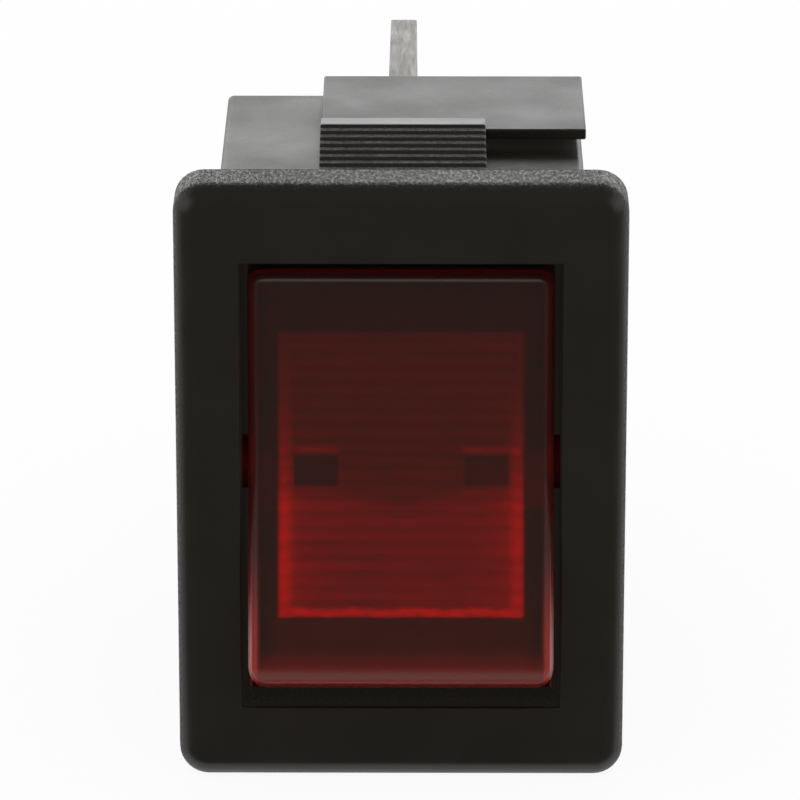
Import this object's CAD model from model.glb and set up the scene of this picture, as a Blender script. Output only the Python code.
import math
import bmesh
import bpy
import numpy as np
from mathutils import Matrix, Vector


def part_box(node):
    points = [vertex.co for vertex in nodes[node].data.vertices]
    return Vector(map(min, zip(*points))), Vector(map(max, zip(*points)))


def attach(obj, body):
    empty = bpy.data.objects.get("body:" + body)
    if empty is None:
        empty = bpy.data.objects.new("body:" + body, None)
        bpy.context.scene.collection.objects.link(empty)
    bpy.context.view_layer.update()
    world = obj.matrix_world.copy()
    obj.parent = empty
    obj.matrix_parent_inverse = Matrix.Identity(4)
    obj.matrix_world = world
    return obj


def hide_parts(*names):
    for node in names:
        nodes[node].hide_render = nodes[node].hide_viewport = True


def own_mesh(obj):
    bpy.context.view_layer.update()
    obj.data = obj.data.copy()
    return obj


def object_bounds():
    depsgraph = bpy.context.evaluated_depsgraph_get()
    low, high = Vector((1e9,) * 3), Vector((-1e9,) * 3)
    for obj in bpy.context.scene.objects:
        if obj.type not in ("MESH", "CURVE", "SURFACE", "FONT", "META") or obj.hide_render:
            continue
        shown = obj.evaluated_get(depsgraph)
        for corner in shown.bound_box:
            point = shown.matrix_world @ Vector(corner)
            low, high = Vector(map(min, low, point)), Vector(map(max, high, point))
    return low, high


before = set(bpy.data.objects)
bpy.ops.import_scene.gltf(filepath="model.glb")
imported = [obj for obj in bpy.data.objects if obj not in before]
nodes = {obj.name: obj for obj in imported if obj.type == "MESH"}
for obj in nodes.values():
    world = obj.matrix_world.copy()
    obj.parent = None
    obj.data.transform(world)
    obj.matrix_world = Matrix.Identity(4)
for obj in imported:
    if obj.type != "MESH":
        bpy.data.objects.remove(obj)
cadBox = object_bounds()
mm = 0.001
bpy.context.scene.view_settings.view_transform = "Standard"


view = {
    "lens": 261.8,          # mm, on a 36 mm wide sensor
    "distance": 193.5,      # mm from the flange's face along the line of sight
    "elevation": 19.73,     # degrees above the flange's axis
    "turn": 0.25,           # degrees about the vertical
    "faceOffset": (0.032, -2.972),  # mm, the flange's face in the view, right and up
    "sensor": 36,           # mm
    "nearest": 10,          # mm, nothing nearer is drawn
}


def aimCamera(v):
    e, a = math.radians(v["elevation"]), math.radians(v["turn"])
    right = np.array([math.cos(a), math.sin(a), 0])
    ahead = np.array([-math.sin(a) * math.cos(e), math.cos(a) * math.cos(e), -math.sin(e)])
    up = np.cross(right, ahead)
    face = np.array([0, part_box("housing")[0].y / mm, 0])
    place = face - v["distance"] * ahead - v["faceOffset"][0] * right - v["faceOffset"][1] * up
    data = bpy.data.cameras.new("camera")
    data.lens = v["lens"]
    data.sensor_width = v["sensor"]
    data.clip_start = v["nearest"] * mm
    camera = bpy.data.objects.new("camera", data)
    bpy.context.scene.collection.objects.link(camera)
    camera.location = Vector(place * mm)
    camera.rotation_euler = (math.pi / 2 - e, 0, a)
    bpy.context.scene.camera = camera


lamps = {  # place and aim in mm, size in mm, radiance
    "backSoftbox": {"place": (0, 520, 165), "aim": (0, 8, 4), "size": (900, 260),
                    "radiance": 1.55, "mirrored": True},
    "frontSoftbox": {"place": (0, -330, 420), "aim": (0, 0, 0), "size": (420, 260),
                     "radiance": 1.5, "mirrored": False},
}


def addLamp(name, v):
    data = bpy.data.lights.new(name, "AREA")
    data.shape = "RECTANGLE"
    data.size, data.size_y = (s * mm for s in v["size"])
    data.energy = v["radiance"] * math.pi * data.size * data.size_y
    lamp = bpy.data.objects.new(name, data)
    bpy.context.scene.collection.objects.link(lamp)
    lamp.location = Vector(v["place"]) * mm
    lamp.rotation_euler = (Vector(v["aim"]) - Vector(v["place"])).to_track_quat("-Z", "Y").to_euler()
    lamp.visible_camera = False
    lamp.visible_glossy = v["mirrored"]


def newMaterial(name):
    material = bpy.data.materials.new(name)
    material.use_nodes = True
    tree = material.node_tree
    tree.nodes.clear()
    return material, tree


def addNode(tree, kind, **values):
    node = tree.nodes.new(kind)
    for key, value in values.items():
        setattr(node, key, value)
    return node


def link(tree, source, target):
    tree.links.new(source, target)


def noise(tree, vector, scale, detail=2.0, roughness=0.5):
    node = addNode(tree, "ShaderNodeTexNoise")
    node.inputs["Scale"].default_value = scale
    node.inputs["Detail"].default_value = detail
    node.inputs["Roughness"].default_value = roughness
    link(tree, vector, node.inputs["Vector"])
    return node.outputs["Fac"]


# A value carried from one range to another and held at its ends
def span(tree, value, fromLow, fromHigh, toLow, toHigh, smooth=False):
    node = addNode(tree, "ShaderNodeMapRange", clamp=True)
    node.interpolation_type = "SMOOTHSTEP" if smooth else "LINEAR"
    for key, number in zip(("From Min", "From Max", "To Min", "To Max"), (fromLow, fromHigh, toLow, toHigh)):
        node.inputs[key].default_value = number
    link(tree, value, node.inputs["Value"])
    return node.outputs["Result"]


# The same for a place given in mm
def spanMm(tree, value, fromLow, fromHigh, toLow, toHigh, smooth=False):
    return span(tree, value, fromLow * mm, fromHigh * mm, toLow, toHigh, smooth)


# 1 where a place, in mm, lies between low and high
def between(tree, value, low, high, soft=0.01):
    rise = spanMm(tree, value, low - soft, low, 0, 1)
    return product(tree, rise, spanMm(tree, value, high, high + soft, 1, 0))


# Numbers and sockets combined by one operation, two at a time
def maths(tree, operation, *values):
    result = values[0]
    for value in values[1:]:
        node = addNode(tree, "ShaderNodeMath", operation=operation)
        for socket, given in zip(node.inputs, (result, value)):
            if isinstance(given, (int, float)):
                socket.default_value = given
            else:
                link(tree, given, socket)
        result = node.outputs[0]
    return result


def product(tree, *values):
    return maths(tree, "MULTIPLY", *values)


def total(tree, *values):
    return maths(tree, "ADD", *values)


def greatest(tree, *values):
    return maths(tree, "MAXIMUM", *values)


def absolute(tree, value):
    return maths(tree, "ABSOLUTE", value, 0.0)


# 1 for rays that look at a surface: camera, glossy and transmission
def seenDirectly(tree):
    path = addNode(tree, "ShaderNodeLightPath")
    rays = ("Is Camera Ray", "Is Glossy Ray", "Is Transmission Ray")
    return greatest(tree, *(path.outputs[ray] for ray in rays))


def mixColour(tree, factor, a, b):
    node = addNode(tree, "ShaderNodeMix", data_type="RGBA")
    link(tree, factor, node.inputs["Factor"])
    for socket, value in ((node.inputs[6], a), (node.inputs[7], b)):   # its two colours
        if isinstance(value, tuple):
            socket.default_value = (*value, 1)
        else:
            link(tree, value, socket)
    return node.outputs[2]


def mixShader(tree, factor, a, b):
    node = addNode(tree, "ShaderNodeMixShader")
    if isinstance(factor, (int, float)):
        node.inputs[0].default_value = factor
    else:
        link(tree, factor, node.inputs[0])
    link(tree, a, node.inputs[1])
    link(tree, b, node.inputs[2])
    return node.outputs[0]


def matt(tree, colour):
    node = addNode(tree, "ShaderNodeBsdfDiffuse")
    node.inputs["Color"].default_value = (*colour, 1)
    return node.outputs[0]


def emission(tree, colour, strength=1.0):
    node = addNode(tree, "ShaderNodeEmission")
    node.inputs["Color"].default_value = (*colour, 1)
    node.inputs["Strength"].default_value = strength
    return node.outputs[0]


# The X, Y and Z of a point
def split(tree, point):
    node = addNode(tree, "ShaderNodeSeparateXYZ")
    link(tree, point, node.inputs[0])
    return node.outputs["X"], node.outputs["Y"], node.outputs["Z"]


# Points scaled along each axis, so that a pattern on them is drawn out where the scale is small
def stretched(tree, point, scale):
    node = addNode(tree, "ShaderNodeMapping")
    node.inputs["Scale"].default_value = scale
    link(tree, point, node.inputs["Vector"])
    return node.outputs[0]


def objectPoint(tree):
    return addNode(tree, "ShaderNodeTexCoord").outputs["Object"]


# A relief of that depth in mm
def bump(tree, height, depth, strength=1.0):
    node = addNode(tree, "ShaderNodeBump")
    node.inputs["Distance"].default_value = depth * mm
    node.inputs["Strength"].default_value = strength
    link(tree, height, node.inputs["Height"])
    return node.outputs["Normal"]


def principled(tree, **values):
    shader = addNode(tree, "ShaderNodeBsdfPrincipled")
    names = {"colour": "Base Color", "rough": "Roughness", "metal": "Metallic", "normal": "Normal",
             "specular": "Specular IOR Level", "transmission": "Transmission Weight", "ior": "IOR"}
    for key, value in values.items():
        socket = shader.inputs[names[key]]
        if isinstance(value, tuple):
            socket.default_value = (*value, 1)
        elif isinstance(value, (int, float)):
            socket.default_value = value
        else:
            link(tree, value, socket)
    return shader


def output(tree, shader):
    link(tree, shader, addNode(tree, "ShaderNodeOutputMaterial").inputs["Surface"])


stage = {
    "reach": 3000,           # mm, half the floor
    "worldDiffuse": 0.5,     # strength of the surroundings as light
    "floorColour": (0.9, 0.9, 0.9), "floorGlow": 1.04, "glowShare": 0.88,
    "cardGlow": (0.16, 0.145, 0.115),
    "cardHalf": 420, "cardNear": -2.4, "cardFar": -520, "cardTop": 380, "cardBehind": 520,  # mm
    "cardLift": 0.2,         # mm, between the floor and the lying card
}


def makeWorld(v):
    world = bpy.data.worlds.new("studio")
    bpy.context.scene.world = world
    world.use_nodes = True
    tree = world.node_tree
    tree.nodes.clear()
    back = addNode(tree, "ShaderNodeBackground")
    back.inputs["Color"].default_value = (1, 1, 1, 1)
    strength = span(tree, seenDirectly(tree), 0, 1, v["worldDiffuse"], 1)
    link(tree, strength, back.inputs["Strength"])
    link(tree, back.outputs[0], addNode(tree, "ShaderNodeOutputWorld").inputs["Surface"])


# A flat sheet with four corners, points in mm
def flatSheet(name, corners):
    mesh = bpy.data.meshes.new(name)
    mesh.from_pydata([Vector(p) * mm for p in corners], [], [(0, 1, 2, 3)])
    sheet = bpy.data.objects.new(name, mesh)
    bpy.context.scene.collection.objects.link(sheet)
    return sheet


def makeStage(v):
    z = cadBox[0][2] / mm
    r = v["reach"]
    floor = flatSheet("floor", [(-r, -r, z), (r, -r, z), (r, r, z), (-r, r, z)])
    material, tree = newMaterial("pale_floor")
    share = span(tree, seenDirectly(tree), 0, 1, 0, v["glowShare"])
    glow = emission(tree, (1, 1, 1), v["floorGlow"])
    output(tree, mixShader(tree, share, matt(tree, v["floorColour"]), glow))
    floor.data.materials.append(material)
    dark, tree = newMaterial("dark_card")
    output(tree, emission(tree, v["cardGlow"]))
    # dark cards in front and above keep the flange's face and the lens from mirroring the pale room
    w, near, far, top, behind = (v[k] for k in ("cardHalf", "cardNear", "cardFar", "cardTop", "cardBehind"))
    low = z + v["cardLift"]
    cards = {
        "lyingCard": [(-w, far, low), (w, far, low), (w, near, low), (-w, near, low)],
        "standingCard": [(-w, far, z), (w, far, z), (w, far, top), (-w, far, top)],
        "hangingCard": [(-w, far, top), (w, far, top), (w, behind, top), (-w, behind, top)],
    }
    for name, corners in cards.items():
        card = flatSheet(name, corners)
        card.data.materials.append(dark)
        card.visible_camera = False
        card.visible_shadow = False
        card.visible_diffuse = False


nylonValues = {   # places in mm: the depth behind the panel, and the distance from the middle
    "colour": (0.0135, 0.0122, 0.0098), "pale": (0.018, 0.0165, 0.0135), "speck": (0.06, 0.056, 0.05),
    "rough": 0.33, "armRough": 0.42, "noseRough": 0.5, "specular": 0.5,
    "cloud": 420, "grain": 10000, "fineGrain": 40000, "drag": 0.35, "grainDepth": 0.06,
    "blastedFrom": -1.6, "burr": 0.1, "burrRough": 0.5,                     # the flange's rim
    "blastedRough": (0.42, 0.05), "pitRough": 0.5,                          # added from hollows to grains
    "armFrom": (6.0, 6.6), "armGrain": 0.12,
    "noseDepth": (0.7, 5.35), "noseHeight": (8.6, 11), "noseGrain": 0.6,
    "inside": (0.0075, 0.0068, 0.0054),   # the little light that wanders in the opening and under the arms
    "openingHalf": 5.35, "openingEnd": (7.875, 7.89), "openingFrom": (-2.05, -1.9),
    "socketHalf": 5.9, "socketEnd": (0.97, 0.98),
    "underArm": (8.43, 8.82), "underArmFrom": (8.5, 9),
}


# 1 inside the opening, its two sockets and the gaps under the arms
def insideMask(tree, across, depth, along, v):
    half = spanMm(tree, along, *v["socketEnd"], v["socketHalf"], v["openingHalf"])
    within = product(tree, maths(tree, "LESS_THAN", across, product(tree, half, mm)),
                     spanMm(tree, along, *v["openingEnd"], 1, 0),
                     spanMm(tree, depth, *v["openingFrom"], 0, 1))
    underArm = product(tree, between(tree, along, *v["underArm"]),
                       spanMm(tree, depth, *v["underArmFrom"], 0, 1))
    return greatest(tree, within, underArm)


# Smooth on the face, sand-blasted round the flange's rim, fine-grained on the body and arms behind it
def blackNylon(name, v):
    material, tree = newMaterial(name)
    point = objectPoint(tree)
    x, depth, z = split(tree, point)
    across, along = absolute(tree, x), absolute(tree, z)
    blasted = product(tree, between(tree, depth, v["blastedFrom"], 0.0, 0.3),
                      spanMm(tree, depth, 0.001, 0.01, 1, 0))
    burr = product(tree, blasted, spanMm(tree, depth, -v["burr"], -0.6 * v["burr"], 0, 1))
    arm = spanMm(tree, depth, *v["armFrom"], 0, 1)
    nose = product(tree, between(tree, depth, *v["noseDepth"]), between(tree, along, *v["noseHeight"]))
    dragged = stretched(tree, point, (1, v["drag"], 1))
    coarse = noise(tree, dragged, v["grain"], 3, 0.7)
    pits = noise(tree, dragged, 0.55 * v["grain"], 2, 0.5)
    fine = noise(tree, point, v["fineGrain"], 2, 0.6)
    cloud = noise(tree, point, v["cloud"], 3, 0.5)
    rugged = greatest(tree, blasted, product(tree, nose, v["noseGrain"]))
    specks = product(tree, span(tree, coarse, 0.52, 0.7, 0, 1), blasted)
    colour = mixColour(tree, span(tree, cloud, 0.3, 0.7, 0, 0.5), v["colour"], v["pale"])
    colour = mixColour(tree, specks, colour, v["speck"])
    spread = greatest(tree, span(tree, coarse, 0.34, 0.62, *v["blastedRough"]),
                      span(tree, pits, 0.66, 0.72, 0, v["pitRough"]))
    spread = total(tree, spread, product(tree, burr, v["burrRough"]))
    rough = total(tree, span(tree, cloud, 0.3, 0.7, v["rough"] - 0.04, v["rough"] + 0.05),
                  product(tree, rugged, spread),
                  product(tree, arm, v["armRough"] - v["rough"]),
                  product(tree, nose, v["noseRough"] - v["rough"]))
    relief = total(tree, rugged, product(tree, arm, v["armGrain"]))
    height = total(tree, product(tree, coarse, relief), product(tree, fine, 0.06))
    shader = principled(tree, colour=colour, rough=rough, specular=v["specular"],
                        normal=bump(tree, height, v["grainDepth"]))
    shader.inputs["Emission Color"].default_value = (*v["inside"], 1)
    link(tree, insideMask(tree, across, depth, along, v), shader.inputs["Emission Strength"])
    output(tree, shader.outputs[0])
    return material


plasticGrain = {"scale": 30000, "depth": 0.004, "strength": 0.7}   # depth in mm


def mouldedGrain(tree, point, v=plasticGrain):
    return bump(tree, noise(tree, point, v["scale"], 2, 0.6), v["depth"], v["strength"])


def plainPlastic(name, colour, rough):
    material, tree = newMaterial(name)
    point = objectPoint(tree)
    cloud = noise(tree, point, 700, 3)
    paler = tuple(min(1, c * 1.25) for c in colour)
    tint = mixColour(tree, span(tree, cloud, 0.3, 0.7, 0, 0.5), colour, paler)
    roughness = span(tree, cloud, 0.3, 0.7, rough - 0.05, rough + 0.05)
    output(tree, principled(tree, colour=tint, rough=roughness, specular=0.5,
                            normal=mouldedGrain(tree, point)).outputs[0])
    return material


carrierValues = {   # places in mm
    "side": (0.003, 0.0025, 0.002), "top": (0.0035, 0.003, 0.0025), "window": (0.014, 0.01, 0.008),
    "foot": (0.048, 0.03, 0.025), "postLeft": (0.03, 0.02, 0.017), "postRight": (0.07, 0.045, 0.04),
    "trunnion": (0.13, 0.012, 0.01), "rough": 0.5, "specular": 0.2,
    "windowFrom": (7.2, 5.6), "footFrom": (-3.5, -5.2), "sideFrom": (4.1, 4.5), "postEnd": (0.8, 1.0),
    "trunnionFrom": (5.0, 5.02),
}


# Dark plastic behind the lens; light let in at the foot makes it paler there
def carrierNylon(name, v):
    material, tree = newMaterial(name)
    point = objectPoint(tree)
    x, _, z = split(tree, point)
    across, along = absolute(tree, x), absolute(tree, z)
    cloud = span(tree, noise(tree, point, 900, 3), 0.3, 0.7, 0.75, 1.2)
    colour = mixColour(tree, spanMm(tree, z, *v["windowFrom"], 0, 1, True), v["top"], v["window"])
    colour = mixColour(tree, spanMm(tree, z, *v["footFrom"], 0, 1, True), colour, v["foot"])
    colour = mixColour(tree, spanMm(tree, across, *v["sideFrom"], 0, 1, True), colour, v["side"])
    post = mixColour(tree, spanMm(tree, x, -1, 1, 0, 1), v["postLeft"], v["postRight"])
    colour = mixColour(tree, spanMm(tree, along, *v["postEnd"], 1, 0), colour, post)
    colour = mixColour(tree, spanMm(tree, across, *v["trunnionFrom"], 0, 1), colour, v["trunnion"])
    scaled = addNode(tree, "ShaderNodeVectorMath", operation="SCALE")
    link(tree, colour, scaled.inputs[0])
    link(tree, cloud, scaled.inputs["Scale"])
    output(tree, principled(tree, colour=scaled.outputs[0], rough=v["rough"], specular=v["specular"],
                            normal=mouldedGrain(tree, point)).outputs[0])
    return material


lensValues = {   # widths in mm
    "colour": (0.93, 0.02, 0.012), "lampTint": (0.92, 0.03, 0.02), "rough": 0.26,
    "ripple": 900, "rippleDepth": 0.006,
    "edge": (0.16, 0.004, 0.003), "edgeWidth": 0.5, "dust": (0.8, 0.72, 0.58), "dustShare": 0.011,
    "lipRound": 0.85,    # from the lower end to where its rounding begins
    "bleed": (0.95, 0.03, 0.02), "lipBleed": 0.07, "sideBleed": (0.04, 0.3), "sideBleedWidth": (0.45, 0.2),
    "pivotBleed": 0.1, "pivotBleedAt": 0.6, "pivotBleedHalf": (0.4, 1.1),   # red light caught in the edges
    "scuff": (0.85, 0.8, 0.76), "lipScuff": 0.06, "sideScuff": 0.22, "sideScuffWidth": (0.16, 0.1),
    "speckle": 26000,    # edges rubbed matt
}


# How much of the lens's surface is rubbed matt: round its lower lip, and in a line down the lower sides
def scuffShare(tree, point, side, z, half, foot, v):
    speckle = span(tree, noise(tree, point, v["speckle"], 2, 0.6), 0.3, 0.7, 0.75, 1.25)
    lip = product(tree, spanMm(tree, z, foot + 0.42, foot + 0.08, 0, v["lipScuff"], True),
                  spanMm(tree, z, foot + 0.05, foot - 0.25, 1, 0))
    outer, inner = v["sideScuffWidth"]
    line = product(tree, spanMm(tree, side, half - outer, half - inner, 0, 1, True),
                   spanMm(tree, z, -3.4, foot + 0.6, 0, v["sideScuff"], True))
    return product(tree, greatest(tree, lip, line), speckle)


# How much red light its edges catch: at the lower lip, down both sides and beside the pivot
def bleedShare(tree, side, z, half, foot, v):
    lip = spanMm(tree, z, foot + 0.95, foot + 0.2, 0, v["lipBleed"])
    outer, inner = v["sideBleedWidth"]
    sides = product(tree, spanMm(tree, side, half - outer, half - inner, 0, 1, True),
                    spanMm(tree, z, -2.2, foot + 0.5, *v["sideBleed"], True))
    away = absolute(tree, maths(tree, "SUBTRACT", z, v["pivotBleedAt"] * mm))
    pivot = product(tree, spanMm(tree, away, *v["pivotBleedHalf"], v["pivotBleed"], 0, True),
                    spanMm(tree, side, half - 0.3, half - 0.15, 0, 1, True))
    return greatest(tree, lip, sides, pivot)


# Clear red plastic with a little dust, rubbed matt round its foot, and red light caught in its edges. Lamps
# shine through it, tinted, so what lies behind is lit.
def redLens(name, v, r):
    material, tree = newMaterial(name)
    point = objectPoint(tree)
    level = addNode(tree, "ShaderNodeVectorRotate", rotation_type="X_AXIS")
    level.inputs["Center"].default_value = (0, r["pivot"] * mm, 0)
    level.inputs["Angle"].default_value = math.radians(r["throw"])
    link(tree, point, level.inputs["Vector"])
    x, _, z = split(tree, level.outputs[0])
    side = absolute(tree, x)
    half, end = r["halfWidth"], r["endRadius"]
    foot = v["lipRound"] - end
    # light has further to go through the plastic's edges, so they are darker
    rim = greatest(tree, spanMm(tree, side, half - v["edgeWidth"], half - 0.15, 0, 1, True),
                   spanMm(tree, z, end - 1.1, end - 0.4, 0, 1, True))
    rim = product(tree, rim, spanMm(tree, z, -3, -6, 1, 0.5))
    glass = principled(tree, colour=mixColour(tree, rim, v["colour"], v["edge"]), rough=v["rough"],
                       transmission=1.0, ior=1.5,
                       normal=bump(tree, noise(tree, point, v["ripple"], 2), v["rippleDepth"], 0.5))
    surface = mixShader(tree, v["dustShare"], glass.outputs[0], matt(tree, v["dust"]))
    surface = mixShader(tree, bleedShare(tree, side, z, half, foot, v), surface, matt(tree, v["bleed"]))
    scuff = scuffShare(tree, point, side, z, half, foot, v)
    surface = mixShader(tree, scuff, surface, matt(tree, v["scuff"]))
    clear = addNode(tree, "ShaderNodeBsdfTransparent")
    clear.inputs["Color"].default_value = (*v["lampTint"], 1)
    shadow = addNode(tree, "ShaderNodeLightPath").outputs["Is Shadow Ray"]
    output(tree, mixShader(tree, shadow, surface, clear.outputs[0]))
    return material


drawingMarks = {"scale": 9000, "depth": 0.002, "strength": 0.6}   # depth in mm


# Metal with fine drawing marks, stretched along the axis whose brush value is small
def metal(name, colour, rough, brush=(1, 1, 1), v=drawingMarks):
    material, tree = newMaterial(name)
    point = objectPoint(tree)
    marks = noise(tree, stretched(tree, point, brush), v["scale"], 3, 0.6)
    cloud = noise(tree, point, 600, 3)
    tint = mixColour(tree, span(tree, cloud, 0.3, 0.7, 0, 1), tuple(c * 0.82 for c in colour), colour)
    roughness = total(tree, span(tree, marks, 0.3, 0.7, rough - 0.08, rough + 0.08),
                      span(tree, cloud, 0.3, 0.7, -0.05, 0.08))
    output(tree, principled(tree, colour=tint, rough=roughness, metal=1.0,
                            normal=bump(tree, marks, v["depth"], v["strength"])).outputs[0])
    return material


def clearGlass(name):
    material, tree = newMaterial(name)
    film = span(tree, noise(tree, objectPoint(tree), 700, 2), 0.3, 0.7, 0.03, 0.12)
    output(tree, principled(tree, colour=(1.0, 0.9, 0.84), rough=film, transmission=1.0, ior=1.5).outputs[0])
    return material


milkyValues = {"dark": (0.0, 0.0, 0.0), "bright": (0.97, 0.95, 0.92), "rough": 0.45, "specular": 0.15,
               "streak": 1500, "stretch": (0.3, 1, 1.6)}


# Milky plate: the attribute glow says how much light reaches each place through its thickness
def milkyPlastic(name, v):
    material, tree = newMaterial(name)
    glow = addNode(tree, "ShaderNodeAttribute", attribute_name="glow").outputs["Fac"]
    streak = noise(tree, stretched(tree, objectPoint(tree), v["stretch"]), v["streak"], 3, 0.6)
    level = product(tree, glow, span(tree, streak, 0.3, 0.7, 0.84, 1.16))
    tint = mixColour(tree, level, v["dark"], v["bright"])
    output(tree, principled(tree, colour=tint, rough=v["rough"], specular=v["specular"]).outputs[0])
    return material


# A mesh from points in mm and faces, shaded smooth up to the sharp angle.
def addPiece(name, points, faces, material, body, stands=(), sharp=32, weighted=True):
    mesh = bpy.data.meshes.new(name)
    mesh.from_pydata((np.asarray(points) * mm).tolist(), [], faces)
    return dress(name, mesh, material, body, stands, sharp, weighted)


def dress(name, mesh, material, body, stands=(), sharp=32, weighted=True):
    mesh.validate()
    piece = bpy.data.objects.new(name, mesh)
    bpy.context.scene.collection.objects.link(piece)
    mesh.materials.clear()
    mesh.materials.append(material)
    smoothMesh(mesh, sharp)
    if weighted:
        evaluate(piece, "WEIGHTED_NORMAL", keep_sharp=True)
    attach(piece, body)
    if stands:
        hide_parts(*stands)
    return piece


def smoothMesh(mesh, sharp):
    mesh.polygons.foreach_set("use_smooth", np.ones(len(mesh.polygons), bool))
    mesh.set_sharp_from_angle(angle=math.radians(sharp))
    mesh.update()


# Adds one modifier and keeps its result as the mesh.
def evaluate(piece, kind, **settings):
    modifier = piece.modifiers.new(kind.lower(), kind)
    for key, value in settings.items():
        setattr(modifier, key, value)
    bpy.context.view_layer.update()
    graph = bpy.context.evaluated_depsgraph_get()
    mesh = bpy.data.meshes.new_from_object(piece.evaluated_get(graph), depsgraph=graph)
    piece.modifiers.clear()
    old = piece.data
    piece.data = mesh
    bpy.data.meshes.remove(old)
    return piece


def looseObject(name, points, faces):
    mesh = bpy.data.meshes.new(name)
    mesh.from_pydata((np.asarray(points) * mm).tolist(), [], faces)
    mesh.validate()
    piece = bpy.data.objects.new(name, mesh)
    bpy.context.scene.collection.objects.link(piece)
    return piece


def cut(piece, cutter):
    evaluate(piece, "BOOLEAN", operation="DIFFERENCE", object=cutter, solver="EXACT")
    old = cutter.data
    bpy.data.objects.remove(cutter)
    bpy.data.meshes.remove(old)
    return piece


def bevelled(piece, width, segments=3, angle=35):
    return evaluate(piece, "BEVEL", width=width * mm, segments=segments, limit_method="ANGLE",
                    angle_limit=math.radians(angle), harden_normals=False)


# Quads between count neighbouring rings of size points, and a flat cap on the first and last.
def loftFaces(count, size, first=0):
    row = first + size * np.arange(count - 1)[:, None]
    near = np.arange(size)[None, :]
    far = (near + 1) % size
    quads = np.stack([row + near, row + far, row + size + far, row + size + near], -1).reshape(-1, 4)
    start = first + np.arange(size)[::-1]
    end = first + size * (count - 1) + np.arange(size)
    return quads.tolist() + [start.tolist(), end.tolist()]


# Several (points, faces) joined into one.
def gather(parts):
    points, faces, first = [], [], 0
    for p, f in parts:
        points.append(np.asarray(p, float))
        faces += [[i + first for i in face] for face in f]
        first += len(p)
    return np.concatenate(points), faces


# Rectangle with round corners: a quarter circle of steps + 1 points at each corner.
def roundRect(width, height, radius, steps=8):
    angle = np.linspace(0, math.pi / 2, steps + 1)
    ring = []
    for k, (sx, sz) in enumerate(((1, 1), (-1, 1), (-1, -1), (1, -1))):
        a = angle + k * math.pi / 2
        ring.append(np.stack([sx * (width / 2 - radius) + radius * np.cos(a),
                              sz * (height / 2 - radius) + radius * np.sin(a)], -1))
    return np.concatenate(ring)


def ringAt(width, height, radius, y, steps=8):
    xz = roundRect(width, height, radius, steps)
    return np.stack([xz[:, 0], np.full(len(xz), y), xz[:, 1]], -1)


# An outline of (y, z) points, counter-clockwise seen from +X, carried from x0 to x1.
def extrudeX(outline, x0, x1):
    flat = np.asarray(outline, float)
    rings = np.stack([np.column_stack([np.full(len(flat), x), flat]) for x in (x0, x1)])
    return rings.reshape(-1, 3), loftFaces(2, len(flat))


# A box between two corners
def boxAt(low, high):
    (y0, z0), (y1, z1) = (low[1], low[2]), (high[1], high[2])
    return extrudeX([(y0, z0), (y1, z0), (y1, z1), (y0, z1)], low[0], high[0])


# A round bar along X at depth y
def tubeX(radius, half, y, sides=48):
    angle = np.linspace(0, 2 * math.pi, sides, endpoint=False)
    return extrudeX(np.column_stack([y + radius * np.cos(angle), radius * np.sin(angle)]), -half, half)


# Points turned by angle degrees about the X axis through pivotY, after moving there.
def turned(points, angle, pivotY=0.0):
    a = math.radians(angle)
    p = np.asarray(points, float)
    y, z = p[..., 1], p[..., 2]
    depth = pivotY + y * math.cos(a) - z * math.sin(a)
    return np.stack([p[..., 0], depth, y * math.sin(a) + z * math.cos(a)], -1)


# Turned half round about the Y axis.
def flipped(points):
    return np.asarray(points, float) * np.array([-1, 1, -1])


aimCamera(view)
for lampName, lampValues in lamps.items():
    addLamp(lampName, lampValues)
makeWorld(stage)
makeStage(stage)
print("stage ready")


housingLow, housingHigh = (np.array(c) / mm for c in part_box("housing"))
housing = {
    "face": housingLow[1], "back": housingHigh[1],
    "flange": (housingHigh[0] * 2, housingHigh[2] * 2), "corner": 1.0, "edge": 0.72, "rimEdge": 0.05,
    "body": (12.44, 16.9), "bodyCorner": 0.22, "bodyEdge": 0.12,
    "opening": (10.68, 15.74), "lip": 0.07, "floor": 14.1,
    "socketRadius": 0.95, "socketHalf": 5.88, "pivot": 0.6,
    "slot": (0.56, 1.42), "slotPitch": 6.2,
}


# 0 below low, 1 above high, and 3t^2 - 2t^3 between them
def smoothStep(value, low, high):
    t = np.clip((value - low) / (high - low), 0, 1)
    return t * t * (3 - 2 * t)


# Angles of a quarter circle
def arc(count):
    return np.linspace(0, math.pi / 2, count)


# A cup drawn as rings from the middle of its back, round the outside to the flange's face and in to its
# floor.
def housingRings(v):
    rings = []

    def add(size, radius, inset, y):
        rings.append(ringAt(size[0] - 2 * inset, size[1] - 2 * inset, max(radius - inset, 0.01), y))

    e, b = v["bodyEdge"], v["rimEdge"]
    for a in arc(5):   # back edge of the body
        add(v["body"], v["bodyCorner"], e * (1 - math.sin(a)), v["back"] - e * (1 - math.cos(a)))
    add(v["body"], v["bodyCorner"], 0, 0.0)
    for a in arc(4):   # back edge of the flange
        add(v["flange"], v["corner"], b * (1 - math.sin(a)), -b * (1 - math.cos(a)))
    r = v["edge"]
    for a in arc(10):  # front edge of the flange
        add(v["flange"], v["corner"], r * (1 - math.cos(a)), v["face"] + r - r * math.sin(a))
    p = v["lip"]
    for a in arc(5):   # lip of the opening
        add(v["opening"], 0.02, -p * (1 - math.sin(a)), v["face"] + p * (1 - math.cos(a)))
    add(v["opening"], 0.02, 0, v["floor"])
    return np.stack(rings)


# The trunnions' sockets and the slots for the three tabs
def housingCutters(v):
    parts = [tubeX(v["socketRadius"], v["socketHalf"], v["pivot"])]
    w, h = v["slot"]
    for k in (-1, 0, 1):
        z = k * v["slotPitch"]
        parts.append(boxAt((-w, v["floor"] - 1, z - h), (w, v["back"] + 1, z + h)))
    return gather(parts)


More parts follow.
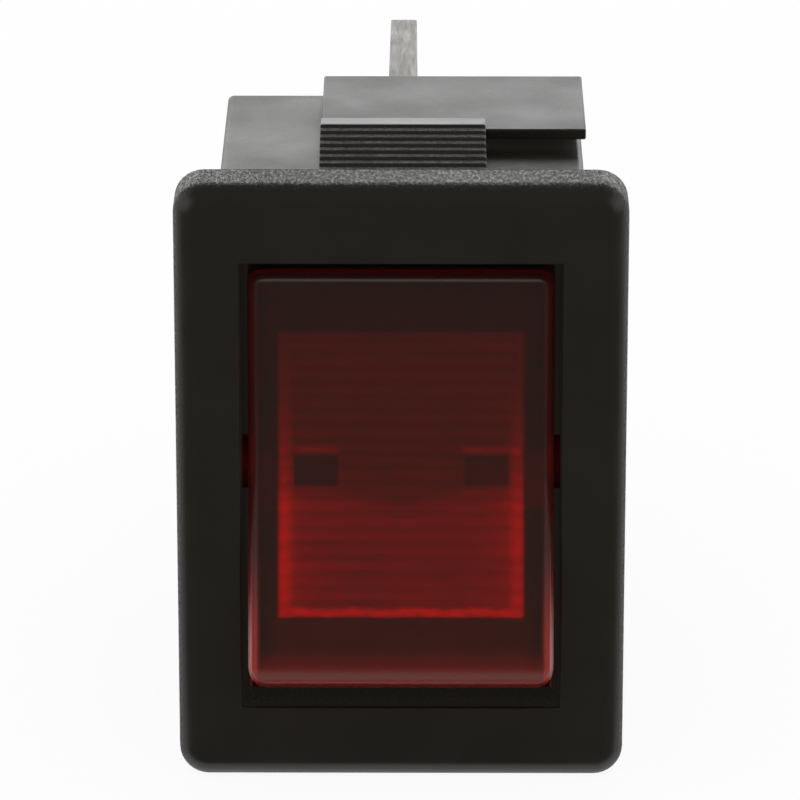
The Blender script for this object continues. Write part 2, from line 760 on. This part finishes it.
latch = {   # mm; level is the share of a tooth's fall that its step takes
    "left": -2.8, "right": 6.34, "front": 8.8, "root": 1.4, "gap": 0.34, "rise": 0.72, "noseHalf": 2.8,
    "crest": 5.4, "crestRise": 1.94, "land": 0.73,
    "teeth": 10, "pitch": 0.45, "fall": 0.089, "level": 0.8, "bite": 0.02, "tip": 0.3,
    "armEdge": 0.07, "noseShift": 0.04, "noseLeft": 0.05, "noseRight": 0.12,
}


# The spring arm from the side: a thin tongue from its root at the back to its free front edge
def armOutline(v):
    top = housing["body"][1] / 2
    back = housing["back"]
    return [(v["front"], top + v["gap"]), (back - v["root"], top + v["gap"]), (back - v["root"], top - 0.05),
            (back - 0.02, top - 0.05), (back - 0.02, top + v["rise"]), (v["front"], top + v["rise"])]


# Stepped face falling towards the panel, underside and ramp, counter-clockwise seen from +X. Each step drops
# along a smooth step in the first third of its length, a little below its almost level tread.
def noseOutline(v):
    k = np.arange(v["teeth"])[:, None]
    u = np.linspace(0, 1, 16, endpoint=False)[None, :]
    drop = v["level"] * smoothStep(u, 0, 0.3) + (1 - v["level"]) * u
    groove = v["bite"] * np.exp(-((u - 0.27) / 0.12) ** 2)
    last = v["crest"] - v["teeth"] * v["pitch"]
    y = (v["crest"] - (k + u) * v["pitch"]).ravel()
    z = (v["crestRise"] - (k + drop) * v["fall"] - groove).ravel()
    teeth = np.column_stack([y, z])[1:]
    lift = v["crestRise"] - v["teeth"] * v["fall"]
    inArm = v["front"] + 0.4
    tail = [(last, lift - 0.02), (last, lift - v["tip"]), (v["front"], v["gap"]), (inArm, v["gap"]),
            (inArm, v["rise"]), (v["front"], v["rise"]), (v["crest"] + v["land"], v["crestRise"])]
    outline = np.concatenate([teeth, tail, [(v["crest"] + 0.02, v["crestRise"] - 0.002)]])
    outline[:, 1] += housing["body"][1] / 2
    return outline


def latchParts(v):
    armLow, armHigh = v["left"], v["right"]
    arm = looseObject("arm", *extrudeX(armOutline(v), armLow, armHigh))
    bevelled(arm, v["armEdge"], 3, 40)
    return meshArrays(arm)


# Points in mm and faces of an object, which is removed.
def meshArrays(piece):
    mesh = piece.data
    points = np.empty(len(mesh.vertices) * 3, np.float64)
    mesh.vertices.foreach_get("co", points)
    faces = [list(p.vertices) for p in mesh.polygons]
    bpy.data.objects.remove(piece)
    bpy.data.meshes.remove(mesh)
    return points.reshape(-1, 3) / mm, faces


# The nose's outline carried across: it sinks by a quarter circle at each end, more at the right one.
def noseParts(v):
    outline = noseOutline(v)
    half = v["noseHalf"]
    left, right = v["noseLeft"], v["noseRight"]
    angle = arc(7)
    xLeft = -half + left * (1 - np.sin(angle))[::-1]
    sinkLeft = left * (1 - np.cos(angle))[::-1]
    xRight = half - right * (1 - np.sin(angle))
    sinkRight = 0.5 * right * (1 - np.cos(angle))
    x = np.concatenate([xLeft, xRight]) + v["noseShift"]
    sink = np.concatenate([sinkLeft, sinkRight])
    base = housing["body"][1] / 2 + v["gap"]
    rings = []
    for xx, s in zip(x, sink):
        ring = outline.copy()
        high = np.clip((ring[:, 1] - base) / 1.0, 0, 1)
        ring[:, 1] -= s * high
        rings.append(np.column_stack([np.full(len(ring), xx), ring]))
    return np.concatenate(rings), loftFaces(len(rings), len(outline))


# Two ribs in the opening's end with sloping tops, which stop the rocker
def stopRibs(v):
    z0, z1 = v["opening"][1] / 2 - 1.95, v["body"][1] / 2 - 0.1
    parts = []
    for s in (-1, 1):
        x0, x1 = sorted((s * v["opening"][0] / 2 + s * 0.05, s * (v["opening"][0] / 2 - 1)))
        foot = v["floor"] + 0.05
        parts.append(extrudeX([(5.6, z0), (foot, z0 + 1), (foot, z1), (5.6, z1)], x0, x1))
    return parts


nylon = blackNylon("black_nylon", nylonValues)


def makeHousing(v):
    rings = housingRings(v)
    shell = looseObject("cup", rings.reshape(-1, 3), loftFaces(len(rings), rings.shape[1]))
    cut(shell, looseObject("cutters", *housingCutters(v)))
    top = [latchParts(latch), noseParts(latch), *stopRibs(v)]
    bottom = [(flipped(p), f) for p, f in top]
    points, faces = gather([meshArrays(shell), *top, *bottom])
    return addPiece("housing_shell", points, faces, nylon, "body", ["housing"])


makeHousing(housing)
print("housing made")


rocker = {   # mm and degrees
    "pivot": 0.6, "throw": 9, "slope": 9, "reach": 2.32, "halfWidth": 5.1, "endRadius": 7.62,
    "edge": 0.45, "corner": 0.6,
    "lens": 0.9, "skirt": 0.3, "endSkirt": 0.4, "skirtBack": 1.1,
    "window": (8.26, 9.86), "gap": 0.04, "floor": 2.73, "milk": 0.5,
    "rib": 0.06, "ribPitch": 0.5, "frame": 0.3, "rail": 0.4,
    "post": (1.44, 1.04), "postX": 2.85,
}


# Where the sloping face, moved in by inset, meets the circle of that radius about the pivot.
def faceCorner(inset, radius, v):
    s, c = math.sin(math.radians(v["slope"])), math.cos(math.radians(v["slope"]))
    d = v["reach"]
    b = d * s
    t = -b + math.sqrt(b * b - (d * d - 2 * inset * d * c + inset * inset) + radius * radius)
    return np.array([-d + inset * c - t * s, -inset * s - t * c])


# Side view of the lens: sloping face, round edge, end round about the pivot. The face moves in by inset, the
# ends by endInset.
def lensOutline(inset, endInset, v, steps=8, ends=16):
    slope = math.radians(v["slope"])
    centre = faceCorner(v["edge"] + inset, v["endRadius"] - endInset - v["edge"], v)
    a0 = math.pi + slope
    a1 = 1.5 * math.pi - math.atan(centre[0] / centre[1])
    a = np.linspace(a0, a1, steps + 1)
    corner = centre + v["edge"] * np.column_stack([np.cos(a), np.sin(a)])
    reach = v["endRadius"] - endInset
    b = np.linspace(a1 - 1.5 * math.pi, math.asin(-v["skirtBack"] / reach), ends + 1)[1:]
    end = reach * np.column_stack([np.sin(b), -np.cos(b)])
    lower = np.concatenate([[[-v["reach"] + inset / math.cos(slope), 0]], corner, end])
    upper = lower[1:][::-1] * (1, -1)
    return np.concatenate([lower, upper])


# The lens's outline carried across: towards each side its face moves in along a quarter circle of radius edge
# and its ends along a wider one of radius corner.
def lensSolid(v):
    c, e = v["corner"], v["edge"]
    near = v["halfWidth"] - c + c * np.sin(arc(12))
    endInset = c - np.sqrt(np.maximum(c * c - (near - v["halfWidth"] + c) ** 2, 0))
    over = np.clip(near - v["halfWidth"] + e, 0, e)
    inset = e - np.sqrt(e * e - over ** 2)
    x = np.concatenate([-near[::-1], near])
    rings = []
    for place, i, j in zip(x, np.r_[inset[::-1], inset], np.r_[endInset[::-1], endInset]):
        outline = lensOutline(i, j, v)
        rings.append(np.column_stack([np.full(len(outline), place), outline]))
    return np.concatenate(rings), loftFaces(len(rings), len(rings[0]))


# What the lens leaves free behind its face and inside its skirts.
def lensHollow(v):
    slope = math.radians(v["slope"])
    radius = v["endRadius"] - v["endSkirt"]
    corner = faceCorner(v["lens"], radius, v)
    a = np.linspace(math.atan2(corner[1], corner[0]), -math.pi / 2 - 0.02, 24)
    end = radius * np.column_stack([np.cos(a), np.sin(a)])
    a = np.linspace(math.pi * 1.5 - 0.02, math.pi * 1.5 + 0.3, 8)
    tail = radius * np.column_stack([np.cos(a), np.sin(a)])
    lower = np.concatenate([[[-v["reach"] + v["lens"] / math.cos(slope), 0]], end, tail])
    outline = np.concatenate([lower, lower[1:][::-1] * (1, -1)])
    half = v["halfWidth"] - v["skirt"]
    return extrudeX(outline, -half, half)


# Faces turned outwards on one closed shell.
def orient(piece):
    mesh = bmesh.new()
    mesh.from_mesh(piece.data)
    bmesh.ops.recalc_face_normals(mesh, faces=mesh.faces)
    mesh.to_mesh(piece.data)
    mesh.free()
    return piece


# The lens with its inside cut out, tilted to its resting side
def makeLens(v):
    solid = orient(looseObject("lensSolid", *lensSolid(v)))
    hollow = orient(looseObject("lensHollow", *lensHollow(v)))
    cut(solid, hollow)
    points, faces = meshArrays(solid)
    points = turned(points, -v["throw"], v["pivot"])
    return addPiece("lens_cap", points, faces, redLens("red_lens", lensValues, v), "rocker",
                    ["rocker_lens"])


glow = {   # how bright the milky plate looks; places in mm from its middle
    "upper": 0.143, "lower": 0.162,                # the upper half, and what the lower half adds
    "bulge": 1.7,                                  # half width of the dip in the border between them
    "ribShade": (0.05, 0.12), "rightShade": 0.06,
    "fringe": (0.34, 0.55), "haze": (0.1, 0.6),    # level and width of the light beside the columns
    "columnAt": (-4.9, -2.2, -1.2, -0.7, -0.2, 0.85, 1.4, 2.4, 4.8, 5.0),
    "column": (1.0, 0.97, 0.9, 0.74, 0.58, 0.46, 0.38, 0.24, 0.15, 0.06),
    "columnWidth": (0.22, 0.62), "rightShare": 0.88,
    "footAt": 0.2, "footHalf": 0.13, "foot": 1.0,
    "lineAt": 0.73, "lineHalf": 0.11, "line": 0.27,
}


# Its lower half is the brighter one, with columns of light down both sides, a bright uneven line along the
# foot and two short lines over the posts; the ribs show as a cosine along Z.
def glowAt(x, z, v, g):
    halfX, halfZ = v["window"][0] / 2, v["window"][1] / 2
    d = halfX - np.abs(x)
    dip = np.exp(-(x / g["bulge"]) ** 2)
    lower = smoothStep(-z, 0.25 + 0.5 * dip, 1.15 + 0.3 * dip)
    turn = 2 * math.pi * (z - 0.25) / v["ribPitch"]
    patchy = 0.65 + 0.35 * np.sin(2.3 * x + 1.7 * np.sin(0.8 * z)) * np.sin(1.6 * z + 0.7)
    shade = (g["ribShade"][0] + g["ribShade"][1] * lower) * np.cos(turn + 0.35 * np.sin(0.9 * x)) * patchy
    level = (g["upper"] + g["lower"] * lower) * (1 + shade)
    wander = 0.03 * np.sin(1.9 * x + 1.2 * np.sin(1.1 * z))
    level = level * (1 + wander + g["rightShade"] * smoothStep(x, 1.5, 3.5))
    level = level + g["fringe"][0] * lower * np.exp(-d / g["fringe"][1])
    level = level + g["haze"][0] * np.exp(-((z - 0.2) / 1.3) ** 2) * np.exp(-d / g["haze"][1])
    column = np.interp(z, g["columnAt"], g["column"]) * np.where(x > 0, g["rightShare"], 1)
    column = column * (1 + 0.09 * np.cos(turn))
    level = level + np.maximum(column - level, 0) * (1 - smoothStep(d, *g["columnWidth"]))
    middle = -halfZ + g["footAt"] + 0.025 * np.sin(3.1 * x) + 0.015 * np.sin(11 * x + 1)
    foot = np.exp(-((z - middle) / g["footHalf"]) ** 4) * smoothStep(d, 0.0, 0.5)
    level = level + (g["foot"] + 0.1 * np.sin(7.3 * x + 0.6) - level) * foot
    left = smoothStep(x, -3.6, -3.45) * (1 - smoothStep(x, -2.2, -2.0))
    right = smoothStep(x, 1.9, 2.2) * (1 - smoothStep(x, 3.9, 4.1))
    line = np.exp(-((z - g["lineAt"]) / g["lineHalf"]) ** 2) * np.maximum(left, right)
    level = level + g["line"] * line * (1 + 0.2 * np.sin(17 * x))
    return np.clip(level * smoothStep(halfZ - z, -0.06, 0.14) * smoothStep(d, -0.14, 0.1), 0, 1)


# A V-shaped plate: ribs run across its front inside a smooth frame, its back is plain
def makeDiffuser(v):
    width, height = v["window"]
    xs = np.linspace(-width / 2, width / 2, 91)
    zs = np.linspace(-height / 2, height / 2, 169)
    x, z = np.meshgrid(xs, zs)
    inside = np.minimum(width / 2 - np.abs(x), height / 2 - np.abs(z))
    framed = smoothStep(inside, v["frame"], v["frame"] + 0.12)
    lift = 0.5 * v["rib"] * framed * (1 - np.cos(2 * math.pi * (z - 0.25) / v["ribPitch"]))
    i, k = np.meshgrid(np.arange(len(xs)), np.arange(len(zs)))
    edge = (i == 0) | (i == len(xs) - 1) | (k == 0) | (k == len(zs) - 1)
    slope = math.tan(math.radians(v["slope"]))
    crest = -v["reach"] + (v["lens"] + v["gap"]) / math.cos(math.radians(v["slope"]))
    y = crest - np.abs(z) * slope + lift + 0.08 * edge
    front = np.stack([x, y, z], -1)
    back = np.stack([x, crest - np.abs(z) * slope + v["rib"] + v["milk"], z], -1)
    rows, cols = x.shape
    count = rows * cols
    index = np.arange(count).reshape(rows, cols)
    quads = np.stack([index[:-1, :-1], index[:-1, 1:], index[1:, 1:], index[1:, :-1]], -1).reshape(-1, 4)
    rim = np.concatenate([index[0, :-1], index[:-1, -1], index[-1, :0:-1], index[:0:-1, 0]])
    wall = np.stack([rim, rim + count, np.roll(rim, -1) + count, np.roll(rim, -1)], -1)
    faces = quads[:, ::-1].tolist() + (quads + count).tolist() + wall[:, ::-1].tolist()
    plate = orient(looseObject("plate", np.concatenate([front.reshape(-1, 3), back.reshape(-1, 3)]), faces))
    halfPost, topPost = v["post"][0] / 2, v["post"][1] / 2
    posts = [boxAt((s * v["postX"] - halfPost, -4, -topPost),
                   (s * v["postX"] + halfPost, v["floor"] - v["rail"], topPost)) for s in (-1, 1)]
    cut(plate, orient(looseObject("posts", *gather(posts))))
    parts = [meshArrays(plate)]
    for s in (-1, 1):
        x0, x1 = sorted((s * width / 2, s * (width / 2 - v["rail"])))
        half = height / 2
        foot = crest - half * slope + v["rib"]
        parts.append(extrudeX([(foot + 0.05, -half), (v["floor"], -half), (v["floor"], half),
                               (foot + 0.05, half), (crest + v["rib"] + 0.05, 0)], x0, x1))
    points, faces = gather(parts)
    level = glowAt(points[:, 0], points[:, 2], v, glow)
    points = turned(points, -v["throw"], v["pivot"])
    milky = milkyPlastic("milky_plastic", milkyValues)
    piece = addPiece("ribbed_diffuser", points, faces, milky, "rocker", ["diffuser"],
                     sharp=20, weighted=False)
    attribute = piece.data.attributes.new("glow", "FLOAT", "POINT")
    attribute.data.foreach_set("value", level.astype(np.float32))
    return piece


makeLens(rocker)
makeDiffuser(rocker)
print("rocker made")


# A copy of a CAD node with its loose triangles joined and its flat faces made whole.
def mergedCopy(name, node):
    mesh = nodes[node].data.copy()
    mesh.name = name
    work = bmesh.new()
    work.from_mesh(mesh)
    bmesh.ops.remove_doubles(work, verts=work.verts, dist=1e-7)
    bmesh.ops.dissolve_limit(work, angle_limit=math.radians(0.5), verts=work.verts, edges=work.edges)
    work.to_mesh(mesh)
    work.free()
    if "custom_normal" in mesh.attributes:
        mesh.attributes.remove(mesh.attributes["custom_normal"])
    return mesh


# A CAD node with its stamped or moulded edges rounded.
def softened(name, node, width, material, body):
    piece = bpy.data.objects.new(name + "_work", mergedCopy(name, node))
    bpy.context.scene.collection.objects.link(piece)
    bevelled(piece, width, 3, 40)
    mesh = piece.data
    bpy.data.objects.remove(piece)
    return dress(name, mesh, material, body, [node])


plated = metal("plated_brass", (0.3, 0.293, 0.28), 0.5, (1, 0.08, 1))
for tab in ("common_tab", "load_tab", "lamp_tab"):
    softened(tab + "_blade", tab, 0.05, plated, "body")
softened("carrier_body", "rocker_carrier", 0.06, carrierNylon("carrier_nylon", carrierValues),
         "rocker")
copper = metal("contact_copper", (0.72, 0.45, 0.28), 0.3, (0.1, 1, 1))
softened("bridge_plate", "contact_bridge", 0.04, copper, "bridge")
brass = metal("brass_strip", (0.78, 0.62, 0.3), 0.33, (1, 1, 0.1))
for strip in ("lamp_strip_left", "lamp_strip_right"):
    softened(strip + "_plate", strip, 0.03, brass, "body")


# A round wire of that radius carried round a helix along Y, its end turns closed.
def spring(name, centre, tilt, v, length, body, node, sides=12, perTurn=36):
    radius, wire, turns = v["radius"], v["wire"], v["turns"]
    count = int(turns * perTurn) + 1
    t = np.linspace(0, 1, count)
    angle = 2 * math.pi * turns * t
    closed = 1.2 / turns
    rise = np.interp(t, [0, closed, 1 - closed, 1], [0, 2.4 * wire / length, 1 - 2.4 * wire / length, 1])
    around = np.linspace(0, 2 * math.pi, sides, endpoint=False)
    rr = radius + wire * np.cos(around)[None, :]
    y = wire + (length - 2 * wire) * rise[:, None] + wire * np.sin(around)[None, :]
    points = np.stack([rr * np.cos(angle)[:, None], y, rr * np.sin(angle)[:, None]], -1).reshape(-1, 3)
    points = turned(points + np.array([0, centre[1], 0]), tilt, centre[2]) + np.array([centre[0], 0, 0])
    return addPiece(name, points, [f[::-1] for f in loftFaces(count, sides)], steel, body,
                    [node], sharp=60, weighted=False)


steel = metal("spring_steel", (0.62, 0.62, 0.63), 0.28)
lampCoil = {"radius": 0.5, "wire": 0.09, "turns": 11}   # mm
for side, sign in (("left", -1), ("right", 1)):
    low, high = (np.array(c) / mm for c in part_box("lamp_spring_" + side))
    spring("lamp_coil_" + side, (sign * rocker["postX"], low[1], 0), 0, lampCoil, high[1] - low[1], "body",
           "lamp_spring_" + side)
coil = {"seat": 4.17, "length": 1.4, "travel": 0.5, "radius": 0.5, "wire": 0.1, "turns": 4}   # mm
plungerCoil = spring("plunger_coil", (0, coil["seat"], rocker["pivot"]), -rocker["throw"], coil,
                     coil["length"], "rocker", "plunger_spring")
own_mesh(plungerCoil)   # shorter as the plunger comes in

finishes = {
    "neon_bulb": clearGlass("bulb_glass"),
    "resistor": plainPlastic("resistor_enamel", (0.62, 0.46, 0.28), 0.25),
    "plunger": plainPlastic("plunger_acetal", (0.82, 0.8, 0.74), 0.35),
}
wire = metal("tinned_wire", (0.75, 0.75, 0.74), 0.3)
silver = metal("contact_silver", (0.85, 0.85, 0.84), 0.22)
for node in ("bulb_lead_left", "bulb_lead_right", "resistor_lead"):
    finishes[node] = wire
for node in ("moving_contact", "fixed_contact"):
    finishes[node] = silver
for node in ("wiper_pad_left", "wiper_pad_right"):
    finishes[node] = brass
for node, material in finishes.items():
    for k in range(len(nodes[node].data.materials)):
        nodes[node].material_slots[k].link = "OBJECT"
        nodes[node].material_slots[k].material = material
print("small pieces made")
